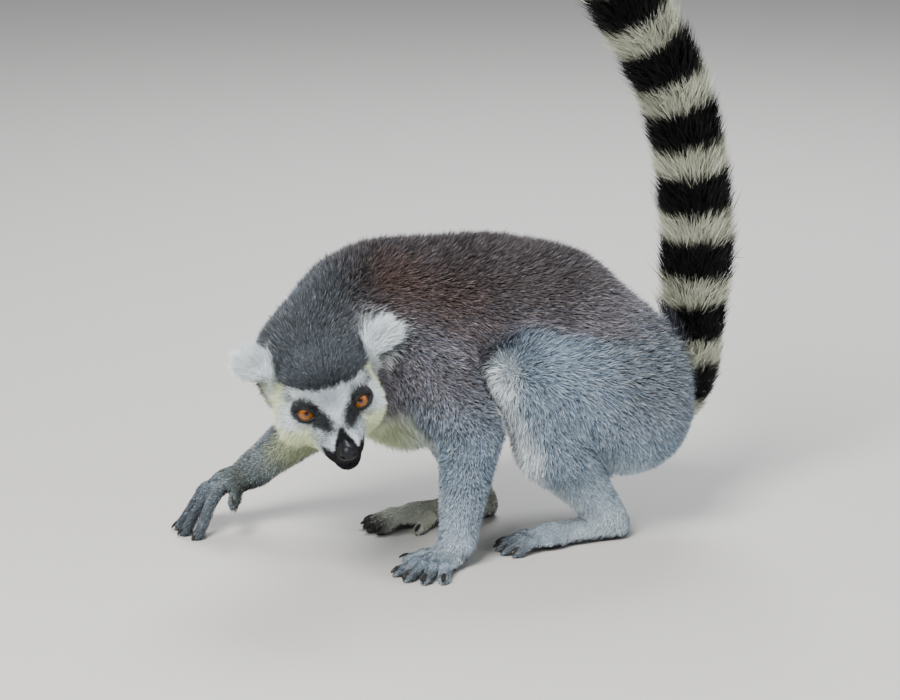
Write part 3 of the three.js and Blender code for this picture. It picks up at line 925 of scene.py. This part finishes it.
def tissue(name, roughness, specular, grain, grain_size, depth, uneven=0.18):
    """A finish whose colour is the mesh's own markings, broken up by noise, with a fine relief."""
    finish = Finish(name, {"Roughness": roughness, "Specular IOR Level": specular})
    where = finish.add("TexCoord", "Object", {})
    patches = finish.add("TexNoise", "Fac", {"Vector": where, "Scale": PATCH_NOISE, "Detail": 4})
    fine = finish.add("TexNoise", "Fac", {"Vector": where, "Scale": grain_size, "Detail": 3})
    light = finish.add("MapRange", "Result", {"Value": patches, "To Min": 1 - uneven, "To Max": 1 + uneven})
    marks = finish.attribute("Marks", "Color")
    colour = finish.add("VectorMath", "Vector", {0: marks, "Scale": light}, "SCALE")
    relief = finish.add("Bump", "Normal", {"Strength": grain, "Distance": depth, "Height": fine})
    finish.set(finish.shader, {"Base Color": colour, "Normal": relief})
    return finish.material


def eye_material():
    """The eye by its angle from the middle of the pupil, in degrees, and the turn round it."""
    finish = Finish("Eye", {"Roughness": 0.2, "Coat Weight": 0.4, "Coat Roughness": 0.03})
    polar, turn = finish.attribute("Polar", "Fac"), finish.attribute("Turn", "Vector")
    ramp = finish.nodes.new("ShaderNodeValToRGB")
    pupil = PUPIL_ANGLE / IRIS_SPAN
    stops = [
        (0.0, srgb(4, 4, 5)), (pupil - 0.008, srgb(4, 4, 5)), (pupil + 0.012, srgb(84, 38, 4)),
        (0.24, srgb(118, 64, 2)), (0.44, srgb(140, 84, 4)), (0.58, srgb(112, 54, 2)),
        (0.7, srgb(58, 24, 4)), (0.78, srgb(18, 12, 8)), (1.0, srgb(14, 11, 11)),
    ]
    for i, (where, colour) in enumerate(stops):
        stop = ramp.color_ramp.elements[i] if i < 2 else ramp.color_ramp.elements.new(where)
        stop.position, stop.color = where, (*colour, 1)
    finish.set(ramp, {"Fac": finish.add("Math", "Value", {0: polar, 1: IRIS_SPAN}, "DIVIDE")})
    # Fibres run out from the pupil: noise that changes round it, and only slowly along them.
    x, y = (finish.add("SeparateXYZ", axis, {"Vector": turn}) for axis in "XY")
    z = finish.add("Math", "Value", {0: polar, 1: 0.06}, "MULTIPLY")
    spread = finish.add("CombineXYZ", "Vector", {"X": x, "Y": y, "Z": z})
    fibres = finish.add("TexNoise", "Fac", {"Vector": spread, "Scale": 1, "Detail": 3})
    light = finish.add("MapRange", "Result", {"Value": fibres, "To Min": 0.62, "To Max": 1.38})
    iris = finish.add("VectorMath", "Vector", {0: ramp.outputs["Color"], "Scale": light}, "SCALE")
    finish.set(finish.shader, {"Base Color": iris})
    return finish.material


PATCH_NOISE = 90
IRIS_SPAN = 60  # the ramp of the iris ends this far from the pupil's middle, in degrees
PUPIL_ANGLE = 9.0
IRIS_FIBRES = 9.0
SKIN = tissue("Skin", 0.62, 0.3, 0.35, 900, 0.0006)
COAT = tissue("Coat", 0.62, 0.22, 0.25, 1500, 0.0002, 0.12)
NOSE = tissue("Nose", 0.42, 0.3, 0.6, 2600, 0.0002, 0.1)
NAIL = tissue("Nail", 0.35, 0.45, 0.2, 1800, 0.0001, 0.15)
EYE = eye_material()
LIMB_PARTS = ("upper_arm", "forearm", "hand", "thigh", "shank", "foot")
FLESH = [
    "head", "neck", "chest", "loins", "rump", "ear_left", "ear_right",
    *(f"{part}_{side}" for side in LIMBS for part in LIMB_PARTS),
    *(f"tail_{i}" for i in range(1, 7)),
]


def keep(obj, slot, *nodes):
    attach(obj, "root")
    if nodes:
        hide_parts(*nodes)


# ---- the skin's mesh ----
SKIN_LOW, SKIN_HIGH = (-192, -146, -6), (234, 102, 588)


def make_skin():
    points, quads = net_of(skin_far, SKIN_LOW, SKIN_HIGH, SKIN_STEP)
    points, faces = divided(points, quads, [
        lambda m: face_part(-14, 34)(m) | paw_part(m),
        lambda m: eye_part(m) | face_part(12, 22)(m),
    ])
    points, normals = settle(points)
    points[:, 2] = np.maximum(points[:, 2], 0)
    return points, normals, sculpt(points, normals), faces


def bare(points, normals):
    """How bare the skin is: lids, lips, nose, palms and soles."""
    q = in_head(points)
    lids = 0
    for side in (-1, 1):
        gap, r, _ = eye_gap(q, side)
        lids = np.maximum(lids, smooth(gap, -1.9, -1.0) * (r < 12.5))
    lips = hill(q[:, 2] - mouth_line(q[:, 0]), 1.4) * smooth(q[:, 0], 12, 20)
    end = smooth(-length(q - NOSE_AT), -9, -7.5)
    under = smooth(-normals[:, 2], 0.3, 0.7) * smooth(-points[:, 2], -9, -5)
    return np.clip(np.maximum.reduce([lids, lips, end, under]), 0, 1)


roots, root_normals, skin_points, skin_faces = make_skin()
marks = markings(roots, root_normals)
bareness = bare(roots, root_normals)
skin_corners, skin_sizes = [i for face in skin_faces for i in face], [len(face) for face in skin_faces]
skin = mesh_object("skin", skin_points, skin_corners, skin_sizes, SKIN)
IS_PAW = np.array([name in PAWS for name in NAMES])
on_paw = shares(roots, 4.0)[:, IS_PAW].sum(1)
add_marks(skin, tint(marks * (0.55 + 0.3 * on_paw)[:, None], LID, bareness))
keep(skin, "grey_fur", *FLESH)


# ---- coat ----
# Per region: tufts per square millimetre, width, lean off the skin in degrees, and how far they are ruffled.
LAY = {
    "core": (1.95, 0.46, 66, 0.18),
    "head": (4.7, 0.36, 60, 0.2),
    "ears": (6.0, 0.42, 30, 0.12),
    "tail": (1.35, 0.72, 42, 0.22),
    "arm": (1.75, 0.48, 58, 0.18),
    "leg": (1.55, 0.5, 58, 0.18),
    "paw": (3.2, 0.42, 28, 0.14),
}
ruffle = [Waves(17, seed) for seed in (21, 22, 23)]
lock = [Waves(6, seed) for seed in (31, 32, 33)]


def lay_of(points):
    return mix(points, 4.0, lambda name, some: np.tile(LAY[REGIONS[name].name], (some.sum(), 1)), 4)


def region_of(points):
    return np.argmax(shares(points, 2.0), axis=1)


def scatter():
    """Roots over the skin, each with its normal and region values mixed from the mesh."""
    triangles = np.array([(f[0], f[i], f[i + 1]) for f in skin_faces for i in range(1, len(f) - 1)])
    a, b, c = (roots[triangles[:, i]] for i in range(3))
    area = length(np.cross(b - a, c - a)) / 2
    hair = lay_of(roots)
    count = area * (hair[:, 0] * (1 - bareness))[triangles].mean(1)
    count = np.floor(count + random.random(len(count))).astype(int)
    which = np.repeat(np.arange(len(triangles)), count)
    s, t = random.random((2, len(which)))
    s, t = np.where(s + t > 1, 1 - s, s), np.where(s + t > 1, 1 - t, t)
    weights = np.stack([1 - s - t, s, t], 1)[:, :, None]
    corner = triangles[which]
    at, normals, lay = ((values[corner] * weights).sum(1) for values in (roots, root_normals, hair))
    return at, unit(normals), lay


def cheek_fringe(q, from_eyes):
    """Where the cheeks' longer hair grows: round the side and the lower edge of the face."""
    f, l, u = q.T
    longer = np.where(l < 0, 1.0, 0.35) * smooth(from_eyes, 13, 18) * smooth(np.abs(l), 19, 28)
    return longer * smooth(-u, -16, -6) * smooth(-f, -16, -4) * smooth(f, -38, -30)


def grow():
    """Every tuft's root and normal there, its five corners, and a place well up it for its colour."""
    at, normals, lay = scatter()
    count, shape = len(at), at.shape
    _, width, lean, ruffled = lay.T
    q = in_head(at)
    from_eyes = np.min([length(q - eye) for eye in EYES], axis=0)
    depth = coat_depth(at) * (0.3 + 0.7 * smooth(from_eyes, 10, 17))
    kind = region_of(at)
    on_ear = ((kind == NAMES.index("ears")) & (np.abs(q[:, 1]) > EAR_EDGE + 0.5))[:, None]
    on_cheek = ((kind == NAMES.index("head")) * cheek_fringe(q, from_eyes))[:, None]
    stray = np.stack([w(at) for w in ruffle], 1) + 0.4 * np.stack([w(at) for w in lock], 1)
    flow = unit(coat_flow(at)) + ruffled[:, None] * (stray + 1.2 * random.normal(size=shape))
    fan = unit(unit(flow) + 0.25 * normals)
    flow = unit(flow - dot(flow, normals)[:, None] * normals)
    lean = np.radians(lean * random.uniform(0.8, 1.2, count))
    height = random.uniform(0.74, 1.04, count) + 0.35 * random.random(count) ** 5
    height = depth * height * (1 + 0.06 * lock[0](at))
    run = height / np.tan(lean)
    tips, _ = settle(at + flow * run[:, None] + normals * height[:, None], height, 1)
    mids = at + flow * (run * 0.46)[:, None]
    mids, _ = settle(mids + normals * (height * 0.62)[:, None], height * 0.64, 1)
    # An ear's hairs stand straight out from its root, and past its rim; a cheek's stand off its edge.
    own_reach = (random.uniform(0.6, 1.1, count) * (1 + 0.22 * lock[1](at)))[:, None]
    ear_hair = EAR_HAIR * own_reach * (0.25 + 0.75 * smooth(q[:, 2:], 14, 25))
    tips = np.where(on_ear, at + fan * ear_hair, tips)
    mids = np.where(on_ear, at + (fan + 0.12 * normals) * ear_hair * 0.5, mids)
    fringe = unit(0.45 * flow + normals + 0.25 * random.normal(size=shape)) * CHEEK_HAIR * own_reach
    tips = lerp(tips, at + fringe + [0, 0, -1.5], on_cheek)
    mids = lerp(mids, at + fringe * 0.5, on_cheek)
    # Each blade is turned a little about its own line.
    turn = random.normal(0, 0.5, count)[:, None]
    across = unit(np.cross(normals, flow))
    across = unit(across * np.cos(turn) + normals * np.sin(turn))
    across = across * (width * random.uniform(0.75, 1.25, count))[:, None] / 2
    start = at - normals * 0.5
    points = np.stack([start - across * 0.8, start + across * 0.8, mids - across, mids + across, tips], 1)
    points[:, :, 2] = np.maximum(points[:, :, 2], FLOOR_GAP)
    return at, normals, points, lerp(mids, tips, 0.4)


EAR_HAIR = 11.5
CHEEK_HAIR = 9.5
FLOOR_GAP = 0.2
tuft_roots, tuft_normals, tuft_points, tuft_outer = grow()


def round_axis(points, a, b):
    """How far along the line from a to b each point is, and its turn round that line, both from 0 to 1."""
    along = unit(b - a)
    across = unit(np.cross(along, [0.3, 1, 0.2]))
    off = points - a
    turn = np.arctan2(off @ np.cross(along, across), off @ across)
    return (off @ along) / np.linalg.norm(b - a), turn / (2 * math.pi) + 0.5


def unwrap(name, points):
    """Each region's own unwrap: round its long axis, or from above and below for a paw."""
    kind = REGIONS[name].name
    if kind == "core":
        return round_axis(points, *TRUNK_AXIS)
    if kind == "tail":
        share = along_tail(points)
        off = points - np.stack([np.interp(share, tail_t, TAIL_PLACES[:, i]) for i in range(3)], 1)
        outward = dot(off, np.cross(unit(tail_flow(points)), [0, 1.0, 0]))
        return share, np.arctan2(off[:, 1], outward) / (2 * math.pi) + 0.5
    if kind in ("arm", "leg"):
        ends = ("shoulder", "wrist") if kind == "arm" else ("hip", "ankle")
        return round_axis(points, *(LIMBS[name[4:]][end] for end in ends))
    if kind == "paw":
        low, high = REGIONS[name].shape.low, REGIONS[name].shape.high
        share = (points - low) / (high - low)
        return share[:, 0], share[:, 1] * 0.48 + 0.5 * (share[:, 2] > 0.35)
    q = in_head(points)
    if kind == "ears":
        return (q[:, 0] + 60) / 40 * 0.5 + 0.5 * (q[:, 1] > 0), (q[:, 2] + 20) / 80
    off = q - np.array([-22.0, 0, 0])
    polar = np.arccos(np.clip(off[:, 0] / np.maximum(length(off), 1e-6), -1, 1)) / math.pi
    turn = np.arctan2(off[:, 1], off[:, 2])
    return 0.5 + polar * np.cos(turn) / 2, 0.5 + polar * np.sin(turn) / 2


TRUNK_AXIS = np.array([(-150.0, -10, 150), (190, 0, 150)])
PATCH = 0.0015  # half a tuft's patch on the unwrap


def tuft_piece(name, region, chosen, *nodes):
    """One mesh of the chosen tufts. Each is a quad and a triangle on it, which come to a point."""
    count = len(chosen)
    points = tuft_points[chosen].reshape(-1, 3)
    first = 5 * np.arange(count)[:, None]
    corners = np.hstack([first + [0, 1, 3, 2], first + [2, 3, 4]]).ravel()
    piece = mesh_object(name, points, corners, np.tile([4, 3], count), COAT)
    add_marks(piece, tuft_shades[chosen].reshape(-1, 3))
    u, v = unwrap(region, tuft_roots[chosen])
    u, v = (0.01 + 0.98 * (c - c.min()) / max(np.ptp(c), 1e-6) for c in (u, v))
    corner_u = u[:, None] + PATCH * np.array([-1, 1, 1, -1, -1, 1, 0])
    corner_v = v[:, None] + PATCH * np.array([-1, -1, 0, 0, 0, 0, 1])
    layer = piece.data.uv_layers.new(name="OFBake")
    layer.data.foreach_set("uv", np.stack([corner_u, corner_v], -1).astype(np.float32).ravel())
    keep(piece, {"ears": "white_fur", "tail": "ringed_fur"}.get(region, "grey_fur"), *nodes)


def shade_tufts():
    """Each tuft's colours, darker at the root and lighter at the tip, with every hair a little different."""
    kind = region_of(tuft_roots)
    paw, crisp = IS_PAW[kind], np.isin(NAMES, ("head", "ears", "tail", *PAWS))[kind]
    limb = np.array([name[:4] in ("arm_", "leg_") for name in NAMES])[kind] | paw
    where = tuft_outer + random.normal(size=tuft_outer.shape) * np.where(crisp, 0.5, 2.6)[:, None]
    colour = markings(where, tuft_normals, 1.6)
    light = smooth(colour.mean(1), 0.25, 0.6)
    grey = (1 - light) * smooth(colour.mean(1), 0.02, 0.07)
    chance = random.normal(0, 1, (3, len(kind)))
    spread = 0.06 + (0.12 + 0.08 * paw) * limb * light + 0.24 * grey
    own = np.exp(chance[0] * spread + 0.05 * mottle(tuft_roots))
    end = np.exp(chance[1] * 0.5 * grey)
    warmth = np.exp(chance[2][:, None] * 0.07 * grey[:, None] * [1, 0.1, -0.9])
    colour = colour * own[:, None] * warmth
    root, mid = 0.5 + (0.35 - 0.25 * paw) * light, 0.84 + 0.14 * light - 0.16 * grey
    tip = (1.16 - 0.06 * light + 0.34 * grey) * end
    shades = colour[:, None, :] * np.stack([root, root, mid, mid, tip], 1)[:, :, None]
    return np.clip(shades, 0, 0.95), kind


tuft_shades, tuft_kind = shade_tufts()


def in_region(name, *tests):
    chosen = tuft_kind == NAMES.index(name)
    for test in tests:
        chosen &= test
    return np.flatnonzero(chosen)


root_x = tuft_roots[:, 0]
tuft_piece("coat_neck", "core", in_region("core", root_x < -62), "neck")
tuft_piece("coat_chest", "core", in_region("core", root_x >= -62, root_x < 16), "chest")
tuft_piece("coat_loins", "core", in_region("core", root_x >= 16, root_x < 94), "loins")
tuft_piece("coat_rump", "core", in_region("core", root_x >= 94), "rump")
tuft_piece("coat_head", "head", in_region("head"), "head")
tuft_piece("coat_ears", "ears", in_region("ears"), "ear_left", "ear_right")
tail_share = along_tail(tuft_roots)
tuft_piece("coat_tail_root", "tail", in_region("tail", tail_share < 0.5), "tail_1", "tail_2", "tail_3")
tuft_piece("coat_tail_tip", "tail", in_region("tail", tail_share >= 0.5), "tail_4", "tail_5", "tail_6")
for side_name in LIMBS:
    for limb_name, paw_name, _ in limb_names(side_name):
        parts = ("upper_arm_", "forearm_") if limb_name[0] == "a" else ("thigh_", "shank_")
        nodes = [part + side_name for part in parts]
        tuft_piece("coat_" + limb_name, limb_name, in_region(limb_name), *nodes)
        tuft_piece("coat_" + paw_name, paw_name, in_region(paw_name), paw_name)


# ---- eyes, nose and nails ----
GAZE = unit([0.965, -0.02, 0.2])
CORNEA_BULGE = 0.3
CORNEA_ANGLE = 46


def quads_of(grid):
    """The quads between the rows and columns of a grid of vertex numbers."""
    return np.stack([grid[:-1, :-1], grid[1:, :-1], grid[1:, 1:], grid[:-1, 1:]], -1).reshape(-1, 4)


def make_eye(name, node, eye):
    """A ball of rings about the gaze, a little fuller over the iris."""
    rings, sides = 56, 72
    across = unit(np.cross(GAZE, [0, 0, 1.0]))
    upward = np.cross(across, GAZE)
    polar = np.radians(180) * np.linspace(0, 1, rings + 1)[1:-1]
    turn = 2 * math.pi * np.arange(sides) / sides
    bulge = CORNEA_BULGE * (1 - smooth(np.degrees(polar), 0, CORNEA_ANGLE) ** 2)
    ring = np.sin(polar)[:, None, None] * (np.cos(turn)[:, None] * across + np.sin(turn)[:, None] * upward)
    way = ring + np.cos(polar)[:, None, None] * GAZE
    points = np.vstack([
        eye + (way * (EYE_RADIUS + bulge)[:, None, None]).reshape(-1, 3),
        [eye + GAZE * (EYE_RADIUS + CORNEA_BULGE)],
        [eye - GAZE * EYE_RADIUS],
    ])
    grid = np.arange((rings - 1) * sides).reshape(-1, sides)
    grid = np.hstack([grid, grid[:, :1]])
    quads = quads_of(grid)
    front, back = len(points) - 2, len(points) - 1
    caps = [(front, *pair) for pair in zip(grid[0], grid[0, 1:])]
    caps += [(back, *pair) for pair in zip(grid[-1, 1:], grid[-1])]
    corners, sizes = np.concatenate([quads.ravel(), np.ravel(caps)]), [4] * len(quads) + [3] * len(caps)
    obj = mesh_object(name, on_head(points), corners, sizes, EYE)
    spokes = np.stack([np.cos(turn), np.sin(turn), 0 * turn], 1) * IRIS_FIBRES
    spokes = np.vstack([np.tile(spokes, (rings - 1, 1)), np.zeros((2, 3))])
    add_values(obj, "Polar", "FLOAT", "value", [*np.repeat(np.degrees(polar), sides), 0, 180])
    add_values(obj, "Turn", "FLOAT_VECTOR", "vector", spokes)
    keep(obj, "eye", node)


for side_name, eye_at in (("right", EYES[0]), ("left", EYES[1])):
    make_eye("eyeball_" + side_name, "eye_" + side_name, eye_at)

PAD = blend(3.5, [
    ball(NOSE_AT + (0.4, 0, 0.2), (4.8, 4.0, 4.8)),
    *(ball(NOSE_AT + (0.8, side * 2.7, -1.0), (3.4, 2.5, 3.0)) for side in (1, -1)),
    bone(NOSE_AT + (-9, 0, 5.6), NOSE_AT + (0.5, 0, 2.2), 3.4, 3.2),
])
NOSTRILS = [
    blend(1, [
        ball(NOSE_AT + (3.4, side * 3.4, -1.1), (1.6, 1.3, 1.1), (side * 20, 0, side * 50)),
        bone(NOSE_AT + (2.6, side * 4.3, -1.1), NOSE_AT + (-0.5, side * 5.2, 0.3), 0.8, 0.4),
    ])
    for side in (-1, 1)
]
SPLIT = bone(NOSE_AT + (5.4, 0, 0), NOSE_AT + (4.4, 0, -6), 0.35, 0.6)
NOSE_REACH, NOSE_STEP = 10, 0.3


def make_nose():
    def far(q):
        d = PAD.far(q)
        for hollow in (*NOSTRILS, SPLIT):
            d = carve(d, hollow.far(q), 0.8)
        return d

    points, quads = net_of(far, NOSE_AT - NOSE_REACH, NOSE_AT + NOSE_REACH, NOSE_STEP)
    obj = mesh_object("nose_pad", on_head(points), quads.ravel(), [4] * len(quads), NOSE)
    add_marks(obj, all_over(NOSE_BLACK, points))
    keep(obj, "dark_skin", "nose")


make_nose()

NAIL_LENGTH, NAIL_HALF_WIDTH, NAIL_THICKNESS = 7.4, 1.9, 0.55
NAIL_RISE = 1.7  # how far the nails stand out of the digits' fur
NAIL_ROWS = 7


def make_nails():
    """A small arched nail over the end of every digit."""
    points, faces = [], []
    s, t = np.linspace(0, 1, NAIL_ROWS)[:, None, None], np.linspace(-1, 1, NAIL_ROWS)[None, :, None]
    numbers = np.arange(2 * NAIL_ROWS**2).reshape(2, NAIL_ROWS, NAIL_ROWS)
    rounded = np.sqrt(np.maximum(1 - (np.maximum(s - 0.35, 0) / 0.66) ** 2, 0.02))
    half = NAIL_HALF_WIDTH * rounded * (0.85 + 0.15 * s)
    arch = 1.05 * (1 - t * t) + 0.5 * s * (1 - s) - 2.4 * s * s
    for line in (line for paw in PAWS.values() for line in paw["lines"]):
        knuckle, tip = line["places"][1:3]
        forward = unit((tip - knuckle) * [1, 1, 0.35])
        across = unit(np.cross(FLOOR_UP, forward))
        upward = np.cross(forward, across)
        top = tip + forward * (s * NAIL_LENGTH - 0.4) + across * half * t
        top = top + upward * (DIGIT_TIP * 0.52 + NAIL_RISE + arch)
        upper, lower = numbers.size * len(points) + numbers
        points.append(np.stack([top, top - upward * NAIL_THICKNESS]))
        edges = [np.concatenate([g[0, :-1], g[:-1, -1], g[-1, :0:-1], g[:0:-1, 0]]) for g in (upper, lower)]
        rim = np.stack([edges[0], np.roll(edges[0], -1), np.roll(edges[1], -1), edges[1]], 1)
        faces += [quads_of(upper)[:, ::-1], quads_of(lower), rim]
    points, faces = np.reshape(points, (-1, 3)), np.vstack(faces)
    points[:, 2] = np.maximum(points[:, 2], FLOOR_GAP)
    obj = mesh_object("nails", points, faces.ravel(), [4] * len(faces), NAIL)
    add_marks(obj, all_over(NAIL_BLACK, points))
    keep(obj, "dark_skin")


make_nails()


# ---- floor, light and camera ----
def aim(name, data, azimuth, elevation, distance, target):
    """A light or a camera that looks at a target, from a bearing, a height in degrees and a distance."""
    obj = bpy.data.objects.new(name, data)
    bpy.context.scene.collection.objects.link(obj)
    a, e = math.radians(azimuth), math.radians(elevation)
    back = Vector((math.sin(a) * math.cos(e), -math.cos(a) * math.cos(e), math.sin(e)))
    obj.location = Vector(target) + back * distance
    obj.rotation_mode = "QUATERNION"
    obj.rotation_quaternion = (-back).to_track_quat("-Z", "Y")
    return obj


bpy.ops.mesh.primitive_plane_add(size=12, location=(0, 0, 0))
ground = bpy.context.object
ground.name = "ground"
floor_finish = Finish("Ground", {"Base Color": (*srgb(214, 212, 208), 1), "Roughness": 0.9})
ground.data.materials.append(floor_finish.material)
LIT_PLACE = (0, 0, 0.2)
for name, azimuth, elevation, distance, size, power, colour in (
    ("key", -42, 46, 2.2, 0.9, 78, (1.0, 0.985, 0.96)),
    ("fill", 45, 20, 2.6, 1.6, 16, (0.93, 0.96, 1.0)),
    ("rim", 150, 50, 2.2, 1.0, 40, (0.95, 0.97, 1.0)),
):
    light = bpy.data.lights.new(name, "AREA")
    light.energy, light.size, light.color = power, size, colour
    aim(name, light, azimuth, elevation, distance, LIT_PLACE)
world = bpy.data.worlds.new("Studio")
bpy.context.scene.world = world
world.use_nodes = True
sky = world.node_tree.nodes["Background"]
sky.inputs["Color"].default_value = (0.82, 0.85, 0.9, 1)
sky.inputs["Strength"].default_value = 0.36

VIEW_AZIMUTH, VIEW_ELEVATION, VIEW_DISTANCE, VIEW_LENS = -18.0, 15.0, 2.0, 110.0
VIEW_TARGET = (0.0, -17.0, 150.0)
camera = bpy.data.cameras.new("camera")
camera.lens, camera.sensor_width, camera.clip_end = VIEW_LENS, 36, 50
view_place = aim("camera", camera, VIEW_AZIMUTH, VIEW_ELEVATION, VIEW_DISTANCE, place(VIEW_TARGET))
bpy.context.scene.camera = view_place
